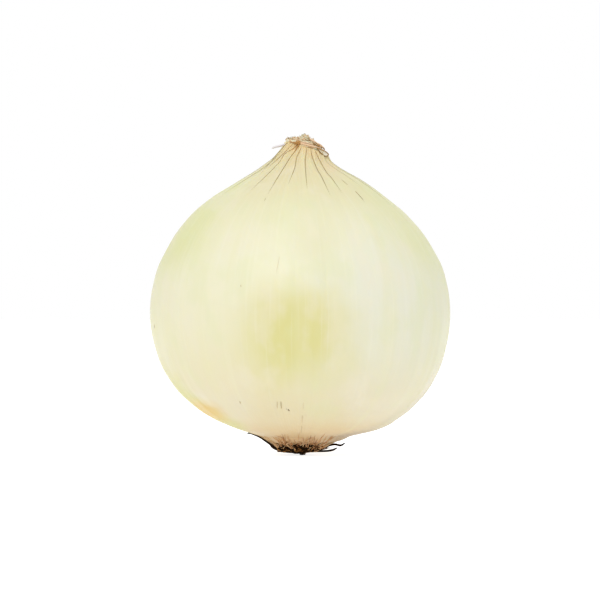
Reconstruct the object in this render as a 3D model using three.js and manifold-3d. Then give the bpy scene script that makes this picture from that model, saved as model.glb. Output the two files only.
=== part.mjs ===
// A white bulb onion, trimmed and peeled to its first fleshy scale, standing on its root end.
// Millimetres, +Z up. The origin is on the surface that the onion stands on, under the middle
// of the bulb. The onion is seen from -Y, and azimuths are turned from there towards +X.
import * as THREE from "three";
import { mergeVertices } from "three/addons/utils/BufferGeometryUtils.js";
import Module from "manifold-3d";

// Driving sizes.
const BULB_WIDTH = 80;
const NECK_CUT_HEIGHT = 81.4; // on the bulb's axis
const NECK_SLANT = THREE.MathUtils.degToRad(17);
const ROOT_CENTRE = -0.6; // along X
const FRINGE_CENTRE = 0;
const GAP = 0.3; // between one piece and the next

// The bulb's outline from the rim of the root plate to the neck, as a radius, a height and how
// far the bulb's axis is towards +X there. The neck is cut off on a slant below the last point.
const BULB_OUTLINE = [
  [8.0, 4.2, 1.8],
  [12.8, 5.2, 1.8],
  [18.6, 7.1, 1.75],
  [23.5, 9.4, 1.5],
  [29.2, 13.4, 0.85],
  [34.9, 20.2, 0.3],
  [38.3, 28.0, 0],
  [BULB_WIDTH / 2, 37.0, 0],
  [38.9, 46.6, 0],
  [35.4, 54.7, -0.15],
  [30.0, 62.6, -0.5],
  [24.0, 68.0, -0.5],
  [16.3, 73.1, 0.1],
  [10.7, 76.3, -0.1],
  [7.7, 78.7, 0.1],
  [6.6, 80.3, 0.4],
  [6.1, 81.9, 0.4],
  [4.9, 83.5, 0.4],
  [3.9, 84.7, 0.4],
];
const OUTLINE_RINGS = 34;
const CUT_RINGS = 4; // the last rings, which turn to the slant of the cut
const FLATTENED_DEPTH = 0.985; // the bulb's depth as a share of its width
const LOBE = 0.004;

// Veins run from the neck down the scale as low ridges.
const FRONT_VEINS = [-52, -37, -22, -8, 6, 19, 29, 41]; // degrees
const OTHER_VEINS = 18;
const VEIN_JITTER = 3; // degrees
const RIDGE_AT_NECK = 0.3;
const RIDGE_ON_BULB = 0.07;

// The dried neck, in its slanted frame: a domed stub with torn scale edges round it, inside a
// rolled rim. A layer of the stub is a share of its radius, a share of its height and a centre.
const STUB_RADIUS = 5.9;
const STUB_HEIGHT = 3.9;
const STUB_LAYERS = [
  [1, 0, 0.7],
  [0.98, 0.25, 0.9],
  [0.84, 0.5, 0.9],
  [0.5, 0.76, 0.7],
  [0.17, 0.97, -0.1],
];
const RIM_RADIUS = 5.7;
const RIM_HEIGHT = 0.7;
const RIM_THICKNESS = 0.58;
const SCALE_EDGES = [
  { radius: 4.7, height: 2.0, ragged: 0.35, lean: 0.5, centre: 0.9 },
  { radius: 3.2, height: 2.8, ragged: 0.4, lean: 0.4, centre: 0.9 },
  { radius: 1.4, height: 3.5, ragged: 0.4, lean: 0.1, centre: 0.1 },
];
const EDGE_THICKNESS = 0.62;
const SHREDS = 14;

// The torn skin round the root plate, as a radius and a height along its underside.
const FRINGE_UNDERSIDE = [
  [5.9, 2.0],
  [7.7, 3.4],
  [9.7, 4.3],
];
const FRINGE_RAGGED = 0.35;
const FIBRES = 40;
const FIBRE_WIDTH = 0.8;
const FIBRE_THICKNESS = 0.6;

// The root plate and its dried roots.
const PLATE_RADIUS = 4.9;
const PLATE_FOOT_RADIUS = 4.2;
const PLATE_TOP = BULB_OUTLINE[0][1] - GAP;
const SHORT_ROOTS = 40;
const ROOT_RADIUS = 0.42;
const ROOT_TIP_RADIUS = 0.3;
// Long roots: an azimuth in degrees, and [radius, height] along the root.
const LONG_ROOTS = [
  [-90, [2.4, 1.2], [4.6, 0.8], [6.3, 1.7], [8.0, 2.85], [10.1, 4.2], [12.2, 5.0], [13.5, 5.2]],
  [80, [3.6, 1.7], [6.0, 1.8], [8.4, 2.3], [9.8, 2.5], [11.4, 2.6], [12.5, 3.1]],
  [98, [3.4, 1.2], [5.5, 1.0], [7.6, 1.05], [9.1, 1.4], [10.3, 1.8]],
  [150, [3.4, 1.4], [6.4, 1.2], [8.0, 2.0], [10.2, 2.5]],
  [196, [3.4, 1.6], [6.6, 1.3], [9.2, 2.3], [11.6, 2.8]],
  [238, [3.4, 1.2], [5.8, 1.1], [7.6, 1.6], [8.6, 2.3]],
];
const LONG_ROOT_CLEARANCE = 7; // degrees with no fringe fibre on each side

const COLOURS = {
  bulb: 0xeae6c4,
  dry_neck: 0xd9b277,
  skin_fringe: 0xbf9560,
  roots: 0x3a2416,
};

const wasm = await Module();
wasm.setup();

// Repeatable draws: each piece starts its own sequence.
function draws(seed) {
  let state = seed;
  return (low, high) => {
    state = (state * 1664525 + 1013904223) % 4294967296;
    return low + ((high - low) * state) / 4294967296;
  };
}

const smooth = THREE.MathUtils.smoothstep;
const radians = THREE.MathUtils.degToRad;

// A point at a radius and height, seen at an azimuth.
function polar(radius, azimuth, height) {
  return new THREE.Vector3(radius * Math.sin(azimuth), -radius * Math.cos(azimuth), height);
}

// One closed surface over rings of points: a band between neighbouring rings, and either a
// fan over each end or, where the rings go all the way round, a band from the last to the first.
function skin(rings, goesRound = false) {
  const sides = rings[0].length;
  const corners = rings.flat();
  const triangles = [];
  const bands = goesRound ? rings.length : rings.length - 1;
  for (let j = 0; j < bands; j++) {
    const low = j * sides;
    const high = ((j + 1) % rings.length) * sides;
    for (let i = 0; i < sides; i++) {
      const next = (i + 1) % sides;
      triangles.push(low + i, low + next, high + next, low + i, high + next, high + i);
    }
  }
  if (!goesRound) {
    const middle = (ring) =>
      ring.reduce((sum, p) => sum.add(p), new THREE.Vector3()).divideScalar(sides);
    const first = corners.push(middle(rings[0])) - 1;
    const last = corners.push(middle(rings.at(-1))) - 1;
    const top = (rings.length - 1) * sides;
    for (let i = 0; i < sides; i++) {
      const next = (i + 1) % sides;
      triangles.push(first, next, i, last, top + i, top + next);
    }
  }
  return new THREE.BufferGeometry().setFromPoints(corners).setIndex(triangles);
}

// A tapered strand along a smooth path. size(t) gives its half width and half thickness, and
// flat is the direction that its thickness is measured in.
function strand(path, { steps, sides, size, flat }) {
  const points = new THREE.CatmullRomCurve3(path).getPoints(steps);
  const rings = points.map((point, k) => {
    const ahead = points[Math.min(k + 1, steps)];
    const behind = points[Math.max(k - 1, 0)];
    const along = ahead.clone().sub(behind).normalize();
    const across = flat.clone().cross(along).normalize();
    const through = along.clone().cross(across);
    const [halfWidth, halfThickness] = size(k / steps);
    return Array.from({ length: sides }, (_, i) => {
      const turn = (2 * Math.PI * i) / sides;
      return point
        .clone()
        .addScaledVector(across, halfWidth * Math.cos(turn))
        .addScaledVector(through, halfThickness * Math.sin(turn));
    });
  });
  return skin(rings);
}

function solid(geometry) {
  const merged = mergeVertices(geometry, 1e-4);
  return new wasm.Manifold(
    new wasm.Mesh({
      numProp: 3,
      vertProperties: new Float32Array(merged.attributes.position.array),
      triVerts: new Uint32Array(merged.index.array),
    }),
  );
}

function fuse(geometries) {
  return geometries.map(solid).reduce((whole, piece) => whole.add(piece));
}

// The largest body of a cut solid; the scraps that a cut leaves loose are dropped.
function largestBody(cut) {
  return cut.decompose().reduce((a, b) => (a.volume() > b.volume() ? a : b));
}

function geometryOf(body) {
  const mesh = body.getMesh();
  return new THREE.BufferGeometry()
    .setAttribute("position", new THREE.BufferAttribute(mesh.vertProperties, 3))
    .setIndex(new THREE.BufferAttribute(mesh.triVerts, 1));
}

function piece(name, geometry, roughness) {
  geometry.computeVertexNormals();
  const material = new THREE.MeshStandardMaterial({
    color: COLOURS[name],
    roughness,
    metalness: 0,
  });
  const mesh = new THREE.Mesh(geometry, material);
  mesh.name = name;
  return mesh;
}

// The bulb. Its outline is carried round, with a ridge at every vein. At the cut, a point's height
// and its distance from the axis depend on each other, and a few passes settle them.
const SLANT_PASSES = 14;

const outline = new THREE.CatmullRomCurve3(
  BULB_OUTLINE.map(([radius, height, shift]) => new THREE.Vector3(radius, height, shift)),
).getPoints(600);

// The outline at a height.
function outlineAt(height) {
  const above = outline.findIndex((p) => p.y >= height);
  if (above < 1) return outline.at(above);
  const [a, b] = [outline[above - 1], outline[above]];
  return a.clone().lerp(b, (height - a.y) / (b.y - a.y));
}

function roundness(azimuth) {
  const frontToBack = Math.cos(azimuth) ** 2;
  return 1 - (1 - FLATTENED_DEPTH) * frontToBack + LOBE * Math.cos(3 * azimuth);
}

// Azimuths of all veins, from the leftmost one in front and on round the back.
function veinAzimuths() {
  const draw = draws(11);
  const last = FRONT_VEINS.at(-1);
  const spacing = (360 + FRONT_VEINS[0] - last) / (OTHER_VEINS + 1);
  const others = Array.from(
    { length: OTHER_VEINS },
    (_, k) => last + (k + 1) * spacing + draw(-VEIN_JITTER, VEIN_JITTER),
  );
  return [...FRONT_VEINS, ...others].map(radians);
}

// Heights of the rings: evenly along the outline, up to the cut.
function ringHeights() {
  const last = outline.findIndex((p) => p.y >= NECK_CUT_HEIGHT);
  const run = [0];
  for (let k = 1; k <= last; k++) run.push(run.at(-1) + outline[k].distanceTo(outline[k - 1]));
  return Array.from({ length: OUTLINE_RINGS + 1 }, (_, j) => {
    const length = (run.at(-1) * j) / OUTLINE_RINGS;
    return j === OUTLINE_RINGS ? NECK_CUT_HEIGHT : outline[run.findIndex((v) => v >= length)].y;
  });
}

function bulb() {
  const veins = veinAzimuths();
  const columns = veins.flatMap((vein, k) => {
    const next = k + 1 < veins.length ? veins[k + 1] : veins[0] + 2 * Math.PI;
    const third = (next - vein) / 3;
    return [
      { azimuth: vein, ridge: 1 },
      { azimuth: vein + third, ridge: 0 },
      { azimuth: vein + 2 * third, ridge: 0 },
    ];
  });
  const heights = ringHeights();
  const rings = heights.map((height, k) => {
    const turned = Math.max(0, k + 1 + CUT_RINGS - heights.length) / CUT_RINGS;
    const ridge = RIDGE_ON_BULB + (RIDGE_AT_NECK - RIDGE_ON_BULB) * smooth(height, 66, 79);
    const fade = smooth(height, 5, 14);
    return columns.map((column) => {
      const slope = turned * Math.tan(NECK_SLANT) * Math.sin(column.azimuth);
      const reachAt = (z) =>
        outlineAt(z).x * roundness(column.azimuth) + column.ridge * ridge * fade;
      let z = height;
      for (let pass = 0; pass < SLANT_PASSES; pass++) z = height - slope * reachAt(z);
      const point = polar(reachAt(z), column.azimuth, z);
      point.x += outlineAt(z).z;
      return point;
    });
  });
  return piece("bulb", skin(rings), 0.35);
}

// The dried neck, in its own slanted frame with the neck's cut end at height 0.

function aboutCentre(centre, radius, azimuth, height) {
  const point = polar(radius, azimuth, height);
  point.x += centre;
  return point;
}

function neckStub() {
  const columns = 22;
  const rings = STUB_LAYERS.map(([radius, height, centre]) =>
    Array.from({ length: columns }, (_, i) => {
      const azimuth = (2 * Math.PI * i) / columns;
      const lump = 1 + 0.05 * Math.sin(5 * azimuth + 6 * height);
      return aboutCentre(centre, STUB_RADIUS * radius * lump, azimuth, STUB_HEIGHT * height);
    }),
  );
  return skin(rings);
}

// The rolled rim of the outermost dry scale, a wavy rope round the stub.
function neckRim() {
  const steps = 36;
  const sides = 5;
  const rings = Array.from({ length: steps }, (_, k) => {
    const azimuth = (2 * Math.PI * k) / steps;
    const radius = RIM_RADIUS + 0.18 * Math.sin(3 * azimuth + 1) + 0.1 * Math.sin(7 * azimuth);
    const height = RIM_HEIGHT + 0.12 * Math.sin(4 * azimuth);
    const thickness = RIM_THICKNESS * (1 + 0.12 * Math.sin(9 * azimuth));
    return Array.from({ length: sides }, (_, i) => {
      const turn = (2 * Math.PI * i) / sides;
      return aboutCentre(
        STUB_LAYERS[0][2],
        radius + thickness * Math.sin(turn),
        azimuth,
        height + thickness * Math.cos(turn),
      );
    });
  });
  return skin(rings, true);
}

// One torn scale edge: a thin wall round the stub, with a ragged top.
function scaleEdge({ radius, height, ragged, lean, centre }, seed) {
  const draw = draws(seed);
  const steps = Math.round(radius * 4 + 6);
  const half = EDGE_THICKNESS / 2;
  const rings = Array.from({ length: steps }, (_, k) => {
    const azimuth = (2 * Math.PI * k) / steps;
    const wave = 0.14 * radius * Math.sin(4 * azimuth + seed);
    const foot = radius + 0.4 * wave;
    const top = radius + lean + wave * 0.8;
    const crest = height + draw(-ragged, ragged);
    return [
      aboutCentre(centre, top - half, azimuth, crest),
      aboutCentre(centre, top + half, azimuth, crest),
      aboutCentre(centre, foot + half, azimuth, 0.4),
      aboutCentre(centre, foot - half, azimuth, 0.4),
    ];
  });
  return skin(rings, true);
}

// Shreds of dry skin that stand out of the torn edges, all round.
function shreds() {
  const draw = draws(29);
  return Array.from({ length: SHREDS }, (_, k) => {
    const azimuth = radians((360 / SHREDS) * k + draw(-9, 9));
    const { radius, height, lean, centre } = SCALE_EDGES[k % SCALE_EDGES.length];
    const tip = radius + lean + draw(0.2, 0.8);
    const up = draw(-0.2, 0.25);
    const swing = draw(-0.25, 0.25);
    const path = [
      aboutCentre(centre, radius - 0.2, azimuth, height * 0.4),
      aboutCentre(centre, radius + lean, azimuth, height),
      aboutCentre(centre, tip, azimuth + swing, height + up),
    ];
    const size = (t) => [0.62 - 0.3 * t, 0.32];
    return strand(path, { steps: 3, sides: 4, size, flat: polar(1, azimuth, 0.2) });
  });
}

// A flap of the rim that has curled over the right shoulder, and a whisker on the left.
function flapAndWhisker() {
  const flap = [
    new THREE.Vector3(3.6, -5.2, 0.7),
    new THREE.Vector3(5.2, -4.7, 0.7),
    new THREE.Vector3(6.6, -3.7, 0.6),
    new THREE.Vector3(7.4, -2.6, 0.4),
  ];
  const whisker = [
    new THREE.Vector3(-4.4, -1.6, 0.7),
    new THREE.Vector3(-5.8, -1.5, 0.1),
    new THREE.Vector3(-6.8, -1.5, -1.2),
    new THREE.Vector3(-7.8, -1.5, -2.4),
  ];
  return [
    strand(flap, {
      steps: 7,
      sides: 6,
      size: (t) => [0.35 + 0.5 * Math.sin(Math.PI * (0.15 + 0.8 * t)), 0.4],
      flat: new THREE.Vector3(0.3, -1, 0.25),
    }),
    strand(whisker, {
      steps: 5,
      sides: 4,
      size: (t) => [0.42 - 0.12 * t, 0.3],
      flat: new THREE.Vector3(1, 0, -0.5),
    }),
  ];
}

function dryNeck() {
  const edges = SCALE_EDGES.map((edge, k) => scaleEdge(edge, 5 + k));
  const body = fuse([neckStub(), neckRim(), ...edges, ...shreds(), ...flapAndWhisker()]);
  const mesh = piece("dry_neck", geometryOf(largestBody(body)), 0.75);
  mesh.rotation.y = NECK_SLANT;
  mesh.position.set(BULB_OUTLINE.at(-1)[2], 0, NECK_CUT_HEIGHT);
  mesh.translateZ(GAP);
  return mesh;
}

// The fringe: a ring of torn skin under the bulb, and its fibres lying along the bulb.

const lowerOutline = outline.filter((p) => p.y < 20);

// Height of the bulb's underside over a point.
function undersideOver({ x, y }) {
  const radius = Math.hypot(x - BULB_OUTLINE[0][2], y);
  return lowerOutline.find((p) => p.x >= radius).y;
}

// The lower part of the bulb, grown by a margin: the room that the pieces under it leave.
function bulbRoom(margin) {
  const columns = 60;
  const profile = lowerOutline.filter((_, k) => k % 10 === 0);
  const rings = profile.map((p, k) => {
    const along = profile[Math.min(k + 1, profile.length - 1)].clone();
    along.sub(profile[Math.max(k - 1, 0)]).normalize();
    const radius = p.x + margin * along.y;
    const height = p.y - margin * (k === 0 ? 1 : along.x);
    return Array.from({ length: columns }, (_, i) => {
      const azimuth = (2 * Math.PI * i) / columns;
      return aboutCentre(p.z, radius * roundness(azimuth), azimuth, height);
    });
  });
  return solid(skin(rings));
}

// The fringe's ring, or, with a margin, the room that the roots leave round it.
function fringeRing(margin = 0) {
  const columns = 44;
  const [inner, middle, outer] = FRINGE_UNDERSIDE;
  const draw = draws(41);
  const rings = Array.from({ length: columns }, (_, k) => {
    const azimuth = (2 * Math.PI * k) / columns;
    const reach = outer[0] + draw(-FRINGE_RAGGED, FRINGE_RAGGED);
    const edge = aboutCentre(FRINGE_CENTRE, reach + margin, azimuth, outer[1]);
    const bulbHeight = undersideOver(edge);
    const buried = bulbHeight + 0.5;
    edge.z = Math.min(edge.z, bulbHeight - GAP - FIBRE_THICKNESS) - margin;
    const crease = Math.min(middle[1] - margin, edge.z);
    return [
      aboutCentre(FRINGE_CENTRE, inner[0] - margin, azimuth, buried),
      new THREE.Vector3(edge.x, edge.y, buried),
      edge,
      aboutCentre(FRINGE_CENTRE, middle[0], azimuth, crease),
      aboutCentre(FRINGE_CENTRE, inner[0] - margin, azimuth, inner[1] - margin),
    ];
  });
  return skin(rings, true);
}

function nearLongRoot(degrees) {
  return LONG_ROOTS.some(([azimuth]) => {
    const apart = Math.abs(((degrees - azimuth + 540) % 360) - 180);
    return apart < LONG_ROOT_CLEARANCE;
  });
}

function fringeFibres() {
  const draw = draws(53);
  const start = FRINGE_UNDERSIDE[2][0] - 1.4;
  const fibres = [];
  for (let k = 0; k < FIBRES; k++) {
    const degrees = (360 / FIBRES) * k + draw(-2, 2);
    const reach = start + draw(2.6, 7.2);
    const swing = draw(-0.09, 0.09);
    if (nearLongRoot(degrees)) continue;
    const lie = (radius, share) => {
      const point = aboutCentre(FRINGE_CENTRE, radius, radians(degrees) + swing * share, 0);
      point.z = undersideOver(point) - GAP - FIBRE_THICKNESS / 2 - 0.06;
      return point;
    };
    const path = [lie(start, 0), lie((start + reach) / 2, 0.4), lie(reach, 1)];
    const size = (t) => [(FIBRE_WIDTH / 2) * (1 - 0.25 * t), FIBRE_THICKNESS / 2];
    fibres.push(strand(path, { steps: 3, sides: 4, size, flat: new THREE.Vector3(0, 0, 1) }));
  }
  return fibres;
}

function skinFringe() {
  const grown = fuse([fringeRing(), ...fringeFibres()]);
  return piece("skin_fringe", geometryOf(largestBody(grown.subtract(bulbRoom(GAP)))), 0.8);
}

// The roots: a corky plate with short roots matted under it and a few long ones.

function rootPlate() {
  const columns = 24;
  const layers = [
    [PLATE_FOOT_RADIUS, -0.5],
    [PLATE_FOOT_RADIUS + 0.3, 0.5],
    [PLATE_RADIUS, 2.4],
    [PLATE_RADIUS, PLATE_TOP],
  ];
  const rings = layers.map(([radius, height]) =>
    Array.from({ length: columns }, (_, i) =>
      aboutCentre(ROOT_CENTRE, radius, (2 * Math.PI * i) / columns, height),
    ),
  );
  return skin(rings);
}

function rootSize(t) {
  const radius = THREE.MathUtils.lerp(ROOT_RADIUS, ROOT_TIP_RADIUS, t);
  return [radius, radius];
}

// Short roots leave the plate's side in a spiral of golden angles and sag towards the surface
// that the onion stands on. Those that reach further out curl up at their tips.
function shortRoots() {
  const goldenAngle = Math.PI * (3 - Math.sqrt(5));
  const draw = draws(89);
  return Array.from({ length: SHORT_ROOTS }, (_, k) => {
    const azimuth = k * goldenAngle;
    const rank = Math.sqrt((k + 0.5) / SHORT_ROOTS);
    const leaves = 2.2 + 2.4 * rank;
    const reach = leaves + draw(1.0, 2.1);
    const swirl = draw(-0.5, 0.5);
    const lift = 0.5 * Math.max(0, reach - PLATE_FOOT_RADIUS);
    const path = [
      aboutCentre(ROOT_CENTRE, leaves - 1, azimuth, 1.2 + 1.2 * rank),
      aboutCentre(ROOT_CENTRE, leaves + 0.5, azimuth, 1.1 + rank * draw(0.3, 1)),
      aboutCentre(ROOT_CENTRE, (leaves + reach) / 2 + 0.3, azimuth + 0.5 * swirl, draw(0.3, 1)),
      aboutCentre(ROOT_CENTRE, reach, azimuth + swirl, draw(0.2, 0.9) + lift),
    ];
    const flat = polar(1, azimuth + Math.PI / 2, 0);
    return strand(path, { steps: 4, sides: 4, size: rootSize, flat });
  });
}

function longRoots() {
  return LONG_ROOTS.map(([degrees, ...path]) => {
    const azimuth = radians(degrees);
    const points = path.map(([r, height]) => aboutCentre(ROOT_CENTRE, r, azimuth, height));
    const flat = polar(1, azimuth + Math.PI / 2, 0);
    return strand(points, { steps: 12, sides: 5, size: rootSize, flat });
  });
}

function roots() {
  const floor = new THREE.BoxGeometry(60, 60, 10).translate(0, 0, -5);
  floor.deleteAttribute("normal").deleteAttribute("uv");
  const grown = fuse([rootPlate(), ...shortRoots(), ...longRoots()]);
  const kept = grown
    .subtract(solid(floor))
    .subtract(solid(fringeRing(GAP)))
    .subtract(bulbRoom(GAP));
  return piece("roots", geometryOf(largestBody(kept)), 0.9);
}

const onion = new THREE.Group();
onion.add(bulb(), dryNeck(), skinFringe(), roots());

export default onion;
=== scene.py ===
# A white bulb onion, peeled to its first fleshy scale and standing on its root end. The parts
# follow as the onion is put together: the bulb, its veins and scars, the dried neck, the skin
# round the root plate and the roots. The camera comes first and the studio last.
import math
import random

import bpy
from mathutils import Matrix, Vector
from mathutils.bvhtree import BVHTree


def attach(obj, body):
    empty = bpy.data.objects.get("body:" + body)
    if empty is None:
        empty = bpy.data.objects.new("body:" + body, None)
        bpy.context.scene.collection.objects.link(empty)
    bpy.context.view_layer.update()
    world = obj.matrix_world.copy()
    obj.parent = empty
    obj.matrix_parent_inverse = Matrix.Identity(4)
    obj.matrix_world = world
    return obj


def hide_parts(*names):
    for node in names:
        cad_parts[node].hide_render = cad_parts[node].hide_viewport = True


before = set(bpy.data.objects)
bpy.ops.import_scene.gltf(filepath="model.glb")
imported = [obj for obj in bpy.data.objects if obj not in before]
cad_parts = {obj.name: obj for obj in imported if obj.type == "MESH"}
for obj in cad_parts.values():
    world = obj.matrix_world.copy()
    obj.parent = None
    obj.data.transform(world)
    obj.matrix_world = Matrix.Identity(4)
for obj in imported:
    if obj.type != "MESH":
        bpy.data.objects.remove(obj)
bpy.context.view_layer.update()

# Camera
# It stands level with the middle of the onion and looks along +Y through a long lens, so that
# the onion's outline is almost free of perspective.
MM = 0.001
CAMERA_DISTANCE = 0.9
VIEW_WIDTH = 160 * MM
VIEW_HEIGHT = 41.3 * MM


def linked(name, data):
    """A new object in the scene."""
    made = bpy.data.objects.new(name, data)
    bpy.context.scene.collection.objects.link(made)
    return made


camera_data = bpy.data.cameras.new("camera")
camera_data.sensor_width = 36
camera_data.lens = camera_data.sensor_width * CAMERA_DISTANCE / VIEW_WIDTH
camera = linked("camera", camera_data)
camera.location = (0, -CAMERA_DISTANCE, VIEW_HEIGHT)
camera.rotation_euler = (math.radians(90), 0, 0)
bpy.context.scene.camera = camera

# Bulb
# The outermost fleshy scale: a turned form with a low ridge over every vein, drawn in to a
# narrow neck that was cut off on a slant. It is moist, satin and slightly translucent.
BULB_WIDTH = 80
# Radius, height and how far the axis is towards +X there.
BULB_OUTLINE = [
    (0.0, 1.35, -0.6),
    (4.5, 1.3, -0.6),
    (5.6, 1.65, -0.15),
    (6.8, 2.3, 0.1),
    (8.25, 3.2, 0.38),
    (10.4, 4.15, 1.3),
    (11.95, 5.0, 1.5),
    (14.2, 5.6, 1.75),
    (19.35, 7.1, 2.25),
    (24.1, 9.4, 1.6),
    (29.65, 13.4, 1.05),
    (35.35, 20.2, 0.5),
    (38.6, 28.0, 0.2),
    (BULB_WIDTH / 2, 37.0, 0.05),
    (38.9, 46.6, 0.05),
    (35.55, 54.7, -0.02),
    (30.0, 62.6, -0.27),
    (24.0, 68.0, -0.35),
    (16.3, 73.1, 0.1),
    (10.8, 76.3, -0.1),
    (9.1, 77.5, -0.15),
    (7.85, 78.5, 0.05),
    (7.1, 79.4, 0.4),
    (6.2, 80.8, 0.65),
    (5.5, 81.9, 0.8),
    (5.0, 82.8, 0.85),
    (4.4, 84.0, 0.9),
    (0.0, 85.2, 0.9),
]
FLATTENED_DEPTH = 0.985
LOBE = 0.004
NECK_CUT_HEIGHT = 81.4
FLESH_TOP = NECK_CUT_HEIGHT + 0.9  # the dried rim of the flesh stands above the cut
NECK_CENTRE = 0.4
NECK_SLANT = math.radians(17)
# Azimuths in degrees, from the front.
FRONT_VEINS = [-52, -37, -22, -8, 6, 19, 29, 41]
OTHER_VEINS = 18
RIDGE_AT_NECK = 0.3
RIDGE_ON_BULB = 0.07
FURROW_DEPTH = 0.05
WAVE_DEPTH = 0.35
JOIN_DISTANCE = 0.004  # corners nearer than this become one


class Number:
    """A number that a node socket carries. Arithmetic on it adds the nodes that do it."""

    def __init__(self, tree, socket):
        self.tree = tree
        self.socket = socket

    def work(self, operation, *others):
        step = self.tree.nodes.new("ShaderNodeMath")
        step.operation = operation
        for value, target in zip((self, *others), step.inputs):
            feed(self.tree, value, target)
        return Number(self.tree, step.outputs[0])

    def __add__(self, other):
        return self.work("ADD", other)

    def __sub__(self, other):
        return self.work("SUBTRACT", other)

    def __mul__(self, other):
        return self.work("MULTIPLY", other)

    def __truediv__(self, other):
        return self.work("DIVIDE", other)

    def smooth(self, low, high):
        """0 below low and 1 above high, with an even turn between."""
        turn = put(self.tree, "ShaderNodeMapRange", interpolation_type="SMOOTHSTEP")
        feed_named(self.tree, turn, {"Value": self, "From Min": low, "From Max": high})
        return Number(self.tree, turn.outputs["Result"])

    def fall(self, low, high):
        """1 below low and 0 above high, with an even turn between."""
        return (self * -1).smooth(-high, -low)

    def along(self, points, low, high):
        """The value at this place, from 0 to 1, on a smooth curve through the points."""
        step = put(self.tree, "ShaderNodeFloatCurve")
        curve = step.mapping.curves[0]
        scaled = [(place, (value - low) / (high - low)) for place, value in points]
        curve.points[0].location = scaled[0]
        curve.points[1].location = scaled[-1]
        for place in scaled[1:-1]:
            curve.points.new(*place)
        step.mapping.update()
        feed(self.tree, self, step.inputs["Value"])
        return Number(self.tree, step.outputs[0]) * (high - low) + low


def feed(tree, value, target):
    if isinstance(value, Number):
        value = value.socket
    if isinstance(value, bpy.types.NodeSocket):
        tree.links.new(value, target)
    else:
        target.default_value = value


def feed_named(tree, node, inputs):
    """Feeds a node's inputs by their names."""
    for name, value in inputs.items():
        feed(tree, value, node.inputs[name])


def put(tree, kind, *values, **settings):
    """A new node, with its settings and its first inputs."""
    made = tree.nodes.new(kind)
    for name, value in settings.items():
        setattr(made, name, value)
    for value, target in zip(values, made.inputs):
        feed(tree, value, target)
    return made


def numbers(tree, vector):
    parts = put(tree, "ShaderNodeSeparateXYZ", vector)
    return [Number(tree, output) for output in parts.outputs]


def shape_tree(name, inputs):
    """An empty Geometry Nodes tree, its named inputs' sockets, and their identifiers."""
    tree = bpy.data.node_groups.new(name, "GeometryNodeTree")
    tree.interface.new_socket("Geometry", in_out="INPUT", socket_type="NodeSocketGeometry")
    tree.interface.new_socket("Geometry", in_out="OUTPUT", socket_type="NodeSocketGeometry")
    names = {}
    for label, kind in inputs.items():
        item = tree.interface.new_socket(label, in_out="INPUT", socket_type="NodeSocket" + kind)
        names[label] = item.identifier
    start = tree.nodes.new("NodeGroupInput")
    values = {label: start.outputs[label] for label in inputs}
    values["Geometry"] = start.outputs["Geometry"]
    return tree, values, names


def form_tree(name, *labels):
    """A tree for a form wrapped in a grid: the tree, its inputs, their identifiers and numbers."""
    inputs = {"Columns": "Int", "Rings": "Int", "Material": "Material"}
    tree, values, names = shape_tree(name, inputs | dict.fromkeys(labels, "Float"))
    return tree, values, names, [Number(tree, values[label]) for label in labels]


def end_tree(tree, geometry, values):
    """The tree's last steps: real geometry, smooth shading and the material."""
    real = put(tree, "GeometryNodeRealizeInstances", geometry)
    shaded = put(tree, "GeometryNodeSetShadeSmooth", real.outputs[0])
    coloured = put(tree, "GeometryNodeSetMaterial", shaded.outputs[0])
    feed(tree, values["Material"], coloured.inputs["Material"])
    tree.links.new(coloured.outputs[0], tree.nodes.new("NodeGroupOutput").inputs[0])


def grown(name, form, values, start=None):
    """A plain mesh object made by a form's tree from its inputs' values."""
    tree, names = form
    mesh = start or bpy.data.meshes.new(name)
    seed = linked(name, mesh)
    modifier = seed.modifiers.new(name, "NODES")
    modifier.node_group = tree
    for label, value in values.items():
        modifier[names[label]] = value
    ready = seed.evaluated_get(bpy.context.evaluated_depsgraph_get())
    result = bpy.data.meshes.new_from_object(ready)
    seed.modifiers.clear()
    seed.data = result
    result.name = name
    return seed


def vein_azimuths():
    """Every vein's azimuth in degrees: those in front, and the others evenly round the back."""
    spread = 360 + FRONT_VEINS[0] - FRONT_VEINS[-1]
    gap = spread / (OTHER_VEINS + 1)
    draw = random.Random(11)
    others = [FRONT_VEINS[-1] + (k + 1) * gap + draw.uniform(-2, 2) for k in range(OTHER_VEINS)]
    return FRONT_VEINS + others


def turned(outline, up):
    """Radius, height and shift at a place along a turned form's outline, in millimetres."""
    run = [0]
    for (r0, z0, _), (r1, z1, _) in zip(outline, outline[1:]):
        run.append(run[-1] + math.hypot(r1 - r0, z1 - z0))
    places = [length / run[-1] for length in run]
    results = []
    for column in zip(*outline):
        points = list(zip(places, column))
        results.append(up.along(points, min(column) - 1, max(column) + 1))
    return results


def skin_grid(tree, values):
    """A grid to wrap round a form: each point's azimuth, its sine and cosine, and its place up."""
    grid = put(tree, "GeometryNodeMeshGrid", 1.0, 1.0, values["Columns"], values["Rings"])
    x, y, _ = numbers(tree, tree.nodes.new("GeometryNodeInputPosition").outputs[0])
    azimuth = (x + 0.5) * (2 * math.pi)
    return grid.outputs["Mesh"], azimuth, azimuth.work("SINE"), azimuth.work("COSINE"), y + 0.5


def cloud(tree, parts, detail=2.0):
    """Noise from about 0 to 1 at a place given by three numbers."""
    place = put(tree, "ShaderNodeCombineXYZ", *parts)
    made = put(tree, "ShaderNodeTexNoise", noise_dimensions="3D")
    feed_named(tree, made, {"Vector": place.outputs[0], "Scale": 1.0, "Detail": detail})
    return Number(tree, made.outputs[0])


def streaks(tree, across, up, turn, height, detail=3.0):
    """Noise round the axis, by two numbers that turn with the azimuth. It can be drawn out up."""
    sine, cosine = turn
    return cloud(tree, (sine * across, cosine * across, height * up), detail)


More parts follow.
